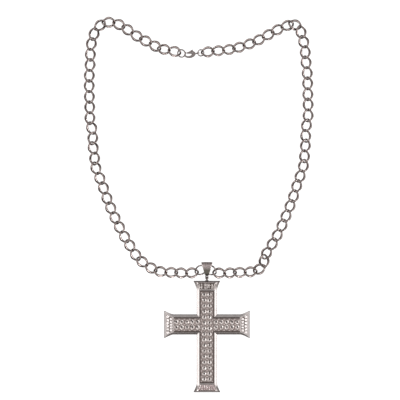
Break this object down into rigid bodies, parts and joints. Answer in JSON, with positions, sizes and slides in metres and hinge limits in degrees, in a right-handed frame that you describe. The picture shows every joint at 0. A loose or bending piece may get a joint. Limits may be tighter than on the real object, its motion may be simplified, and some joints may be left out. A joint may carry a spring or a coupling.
{
  "type": "cross pendant necklace",
  "caption": "Stone-set cross pendant with flared arms, hung by a jump ring and tapered bail on a curb chain of oval links with a lobster clasp.",
  "frame": {"origin": "on the flat back of the cross, under the middle of its crossing; the laid-out necklace rests on z = 0", "axes": "+Y from the foot of the cross to its head and on to the clasp, +X to the wearer's left seen from the front, +Z out of the stones"},
  "size_m": [0.2058, 0.3378, 0.0076],
  "materials": {
    "cast_metal": "polished cast alloy, nickel-coloured plating, slightly warm",
    "setting": "darker pave setting with raised edges and small prongs",
    "stone": "foil-backed faceted clear stones with a faint pink tint",
    "chain": "polished round wire, nickel-coloured plating",
    "steel": "plain spring steel and pin wire"
  },
  "bodies": {
    "chain_middle": {"chain_middle": "chain"},
    "bail": {"bail": "cast_metal"},
    "jump_ring": {"jump_ring": "cast_metal"},
    "cross": {"cross_body": "cast_metal", "setting_upright": "setting", "stones_upright": "stone", "setting_left": "setting", "stones_left": "stone", "setting_right": "setting", "stones_right": "stone", "flare_panel_top": "setting", "flare_panel_bottom": "setting", "flare_panel_left": "stone", "flare_panel_right": "stone"},
    "chain_left_01": {"chain_left_01": "chain"},
    "chain_left_02": {"chain_left_02": "chain"},
    "chain_left_03": {"chain_left_03": "chain"},
    "chain_left_04": {"chain_left_04": "chain"},
    "chain_left_05": {"chain_left_05": "chain"},
    "chain_left_06": {"chain_left_06": "chain"},
    "chain_left_07": {"chain_left_07": "chain"},
    "chain_left_08": {"chain_left_08": "chain"},
    "chain_left_09": {"chain_left_09": "chain"},
    "chain_left_10": {"chain_left_10": "chain"},
    "chain_left_11": {"chain_left_11": "chain"},
    "chain_left_12": {"chain_left_12": "chain"},
    "chain_left_13": {"chain_left_13": "chain"},
    "chain_left_14": {"chain_left_14": "chain"},
    "chain_left_15": {"chain_left_15": "chain"},
    "chain_left_16": {"chain_left_16": "chain"},
    "chain_left_17": {"chain_left_17": "chain"},
    "chain_left_18": {"chain_left_18": "chain"},
    "chain_left_19": {"chain_left_19": "chain"},
    "catch_ring": {"catch_ring": "cast_metal"},
    "chain_right_01": {"chain_right_01": "chain"},
    "chain_right_02": {"chain_right_02": "chain"},
    "chain_right_03": {"chain_right_03": "chain"},
    "chain_right_04": {"chain_right_04": "chain"},
    "chain_right_05": {"chain_right_05": "chain"},
    "chain_right_06": {"chain_right_06": "chain"},
    "chain_right_07": {"chain_right_07": "chain"},
    "chain_right_08": {"chain_right_08": "chain"},
    "chain_right_09": {"chain_right_09": "chain"},
    "chain_right_10": {"chain_right_10": "chain"},
    "chain_right_11": {"chain_right_11": "chain"},
    "chain_right_12": {"chain_right_12": "chain"},
    "chain_right_13": {"chain_right_13": "chain"},
    "chain_right_14": {"chain_right_14": "chain"},
    "chain_right_15": {"chain_right_15": "chain"},
    "chain_right_16": {"chain_right_16": "chain"},
    "chain_right_17": {"chain_right_17": "chain"},
    "chain_right_18": {"chain_right_18": "chain"},
    "chain_right_19": {"chain_right_19": "chain"},
    "chain_right_20": {"chain_right_20": "chain"},
    "clasp_ring": {"clasp_ring": "cast_metal"},
    "clasp": {"clasp_body": "cast_metal", "clasp_spring": "steel", "clasp_rivet": "steel"},
    "clasp_lever": {"clasp_lever": "cast_metal"}
  },
  "joints": [
    {"name": "bail_swing", "type": "hinge", "parent": "chain_middle", "child": "bail", "pos_m": [0, 0.0504, 0.00305], "axis": [-1, 0, 0], "range_deg": [0, 8]},
    {"name": "bail_to_ring_swing", "type": "hinge", "parent": "bail", "child": "jump_ring", "pos_m": [0, 0.04515, 0.003], "axis": [-1, 0, 0], "range_deg": [0, 30]},
    {"name": "cross_swing", "type": "hinge", "parent": "jump_ring", "child": "cross", "pos_m": [0, 0.04075, 0.0023], "axis": [-1, 0, 0], "range_deg": [0, 75]},
    {"name": "link_left_01_bend", "type": "hinge", "parent": "chain_middle", "child": "chain_left_01", "pos_m": [-0.00954, 0.04729, 0.00305], "axis": [0, 0, 1], "range_deg": [0, 16]},
    {"name": "link_left_02_bend", "type": "hinge", "parent": "chain_left_01", "child": "chain_left_02", "pos_m": [-0.02745, 0.04705, 0.00244], "axis": [0, 0, 1], "range_deg": [0, 16]},
    {"name": "link_left_03_bend", "type": "hinge", "parent": "chain_left_02", "child": "chain_left_03", "pos_m": [-0.04635, 0.04857, 0.00205], "axis": [0, 0, 1], "range_deg": [0, 16]},
    {"name": "link_left_04_bend", "type": "hinge", "parent": "chain_left_03", "child": "chain_left_04", "pos_m": [-0.06174, 0.05923, 0.00205], "axis": [0, 0, 1], "range_deg": [0, 16]},
    {"name": "link_left_05_bend", "type": "hinge", "parent": "chain_left_04", "child": "chain_left_05", "pos_m": [-0.07168, 0.07508, 0.00205], "axis": [0, 0, 1], "range_deg": [0, 16]},
    {"name": "link_left_06_bend", "type": "hinge", "parent": "chain_left_05", "child": "chain_left_06", "pos_m": [-0.08075, 0.09184, 0.00205], "axis": [0, 0, 1], "range_deg": [0, 16]},
    {"name": "link_left_07_bend", "type": "hinge", "parent": "chain_left_06", "child": "chain_left_07", "pos_m": [-0.08839, 0.10935, 0.00205], "axis": [0, 0, 1], "range_deg": [0, 16]},
    {"name": "link_left_08_bend", "type": "hinge", "parent": "chain_left_07", "child": "chain_left_08", "pos_m": [-0.09452, 0.12743, 0.00205], "axis": [0, 0, 1], "range_deg": [0, 16]},
    {"name": "link_left_09_bend", "type": "hinge", "parent": "chain_left_08", "child": "chain_left_09", "pos_m": [-0.10134, 0.1451, 0.00205], "axis": [0, 0, 1], "range_deg": [0, 16]},
    {"name": "link_left_10_bend", "type": "hinge", "parent": "chain_left_09", "child": "chain_left_10", "pos_m": [-0.10364, 0.16335, 0.00205], "axis": [0, 0, 1], "range_deg": [0, 16]},
    {"name": "link_left_11_bend", "type": "hinge", "parent": "chain_left_10", "child": "chain_left_11", "pos_m": [-0.10534, 0.18122, 0.00205], "axis": [0, 0, 1], "range_deg": [0, 16]},
    {"name": "link_left_12_bend", "type": "hinge", "parent": "chain_left_11", "child": "chain_left_12", "pos_m": [-0.10567, 0.20031, 0.00205], "axis": [0, 0, 1], "range_deg": [0, 16]},
    {"name": "link_left_13_bend", "type": "hinge", "parent": "chain_left_12", "child": "chain_left_13", "pos_m": [-0.106, 0.2194, 0.00205], "axis": [0, 0, 1], "range_deg": [0, 16]},
    {"name": "link_left_14_bend", "type": "hinge", "parent": "chain_left_13", "child": "chain_left_14", "pos_m": [-0.10464, 0.23842, 0.00205], "axis": [0, 0, 1], "range_deg": [0, 16]},
    {"name": "link_left_15_bend", "type": "hinge", "parent": "chain_left_14", "child": "chain_left_15", "pos_m": [-0.10302, 0.25709, 0.00205], "axis": [0, 0, 1], "range_deg": [0, 16]},
    {"name": "link_left_16_bend", "type": "hinge", "parent": "chain_left_15", "child": "chain_left_16", "pos_m": [-0.09303, 0.2721, 0.00205], "axis": [0, 0, 1], "range_deg": [0, 16]},
    {"name": "link_left_17_bend", "type": "hinge", "parent": "chain_left_16", "child": "chain_left_17", "pos_m": [-0.07516, 0.26831, 0.00205], "axis": [0, 0, 1], "range_deg": [0, 16]},
    {"name": "link_left_18_bend", "type": "hinge", "parent": "chain_left_17", "child": "chain_left_18", "pos_m": [-0.05946, 0.25745, 0.00205], "axis": [0, 0, 1], "range_deg": [0, 16]},
    {"name": "link_left_19_bend", "type": "hinge", "parent": "chain_left_18", "child": "chain_left_19", "pos_m": [-0.04281, 0.24843, 0.00205], "axis": [0, 0, 1], "range_deg": [0, 16]},
    {"name": "catch_ring_turn", "type": "hinge", "parent": "chain_left_19", "child": "catch_ring", "pos_m": [-0.025, 0.2449, 0.00205], "axis": [0, 0, 1], "range_deg": [0, 15]},
    {"name": "link_right_01_bend", "type": "hinge", "parent": "chain_middle", "child": "chain_right_01", "pos_m": [0.00726, 0.04679, 0.00305], "axis": [0, 0, -1], "range_deg": [0, 16]},
    {"name": "link_right_02_bend", "type": "hinge", "parent": "chain_right_01", "child": "chain_right_02", "pos_m": [0.02511, 0.04705, 0.00244], "axis": [0, 0, -1], "range_deg": [0, 16]},
    {"name": "link_right_03_bend", "type": "hinge", "parent": "chain_right_02", "child": "chain_right_03", "pos_m": [0.04394, 0.04814, 0.00205], "axis": [0, 0, -1], "range_deg": [0, 16]},
    {"name": "link_right_04_bend", "type": "hinge", "parent": "chain_right_03", "child": "chain_right_04", "pos_m": [0.05143, 0.06069, 0.00205], "axis": [0, 0, -1], "range_deg": [0, 16]},
    {"name": "link_right_05_bend", "type": "hinge", "parent": "chain_right_04", "child": "chain_right_05", "pos_m": [0.06127, 0.07652, 0.00205], "axis": [0, 0, -1], "range_deg": [0, 16]},
    {"name": "link_right_06_bend", "type": "hinge", "parent": "chain_right_05", "child": "chain_right_06", "pos_m": [0.06951, 0.09364, 0.00205], "axis": [0, 0, -1], "range_deg": [0, 16]},
    {"name": "link_right_07_bend", "type": "hinge", "parent": "chain_right_06", "child": "chain_right_07", "pos_m": [0.07663, 0.11129, 0.00205], "axis": [0, 0, -1], "range_deg": [0, 16]},
    {"name": "link_right_08_bend", "type": "hinge", "parent": "chain_right_07", "child": "chain_right_08", "pos_m": [0.08226, 0.12947, 0.00205], "axis": [0, 0, -1], "range_deg": [0, 16]},
    {"name": "link_right_09_bend", "type": "hinge", "parent": "chain_right_08", "child": "chain_right_09", "pos_m": [0.08793, 0.14729, 0.00205], "axis": [0, 0, -1], "range_deg": [0, 16]},
    {"name": "link_right_10_bend", "type": "hinge", "parent": "chain_right_09", "child": "chain_right_10", "pos_m": [0.08954, 0.16563, 0.00205], "axis": [0, 0, -1], "range_deg": [0, 16]},
    {"name": "link_right_11_bend", "type": "hinge", "parent": "chain_right_10", "child": "chain_right_11", "pos_m": [0.09109, 0.18385, 0.00205], "axis": [0, 0, -1], "range_deg": [0, 16]},
    {"name": "link_right_12_bend", "type": "hinge", "parent": "chain_right_11", "child": "chain_right_12", "pos_m": [0.09103, 0.20287, 0.00205], "axis": [0, 0, -1], "range_deg": [0, 16]},
    {"name": "link_right_13_bend", "type": "hinge", "parent": "chain_right_12", "child": "chain_right_13", "pos_m": [0.09067, 0.2219, 0.00205], "axis": [0, 0, -1], "range_deg": [0, 16]},
    {"name": "link_right_14_bend", "type": "hinge", "parent": "chain_right_13", "child": "chain_right_14", "pos_m": [0.08852, 0.24077, 0.00205], "axis": [0, 0, -1], "range_deg": [0, 16]},
    {"name": "link_right_15_bend", "type": "hinge", "parent": "chain_right_14", "child": "chain_right_15", "pos_m": [0.08561, 0.25912, 0.00205], "axis": [0, 0, -1], "range_deg": [0, 16]},
    {"name": "link_right_16_bend", "type": "hinge", "parent": "chain_right_15", "child": "chain_right_16", "pos_m": [0.07664, 0.27084, 0.00205], "axis": [0, 0, -1], "range_deg": [0, 16]},
    {"name": "link_right_17_bend", "type": "hinge", "parent": "chain_right_16", "child": "chain_right_17", "pos_m": [0.05927, 0.26321, 0.00205], "axis": [0, 0, -1], "range_deg": [0, 16]},
    {"name": "link_right_18_bend", "type": "hinge", "parent": "chain_right_17", "child": "chain_right_18", "pos_m": [0.04251, 0.2542, 0.00205], "axis": [0, 0, -1], "range_deg": [0, 16]},
    {"name": "link_right_19_bend", "type": "hinge", "parent": "chain_right_18", "child": "chain_right_19", "pos_m": [0.0244, 0.24841, 0.00205], "axis": [0, 0, -1], "range_deg": [0, 16]},
    {"name": "link_right_20_bend", "type": "hinge", "parent": "chain_right_19", "child": "chain_right_20", "pos_m": [0.00552, 0.24626, 0.00205], "axis": [0, 0, -1], "range_deg": [0, 16]},
    {"name": "clasp_ring_turn", "type": "hinge", "parent": "chain_right_20", "child": "clasp_ring", "pos_m": [-0.0039, 0.2449, 0.00205], "axis": [0, 0, -1], "range_deg": [0, 15]},
    {"name": "clasp_turn", "type": "hinge", "parent": "clasp_ring", "child": "clasp", "pos_m": [-0.00829, 0.24427, 0.0036], "axis": [0, 0, -1], "range_deg": [0, 18]},
    {"name": "clasp_lever_press", "type": "hinge", "parent": "clasp", "child": "clasp_lever", "pos_m": [-0.0135, 0.24463, 0.0036], "axis": [0, 0, 1], "range_deg": [0, 18], "stiffness_Nm_per_rad": 0.0005, "springref_deg": -5.73}
  ]
}
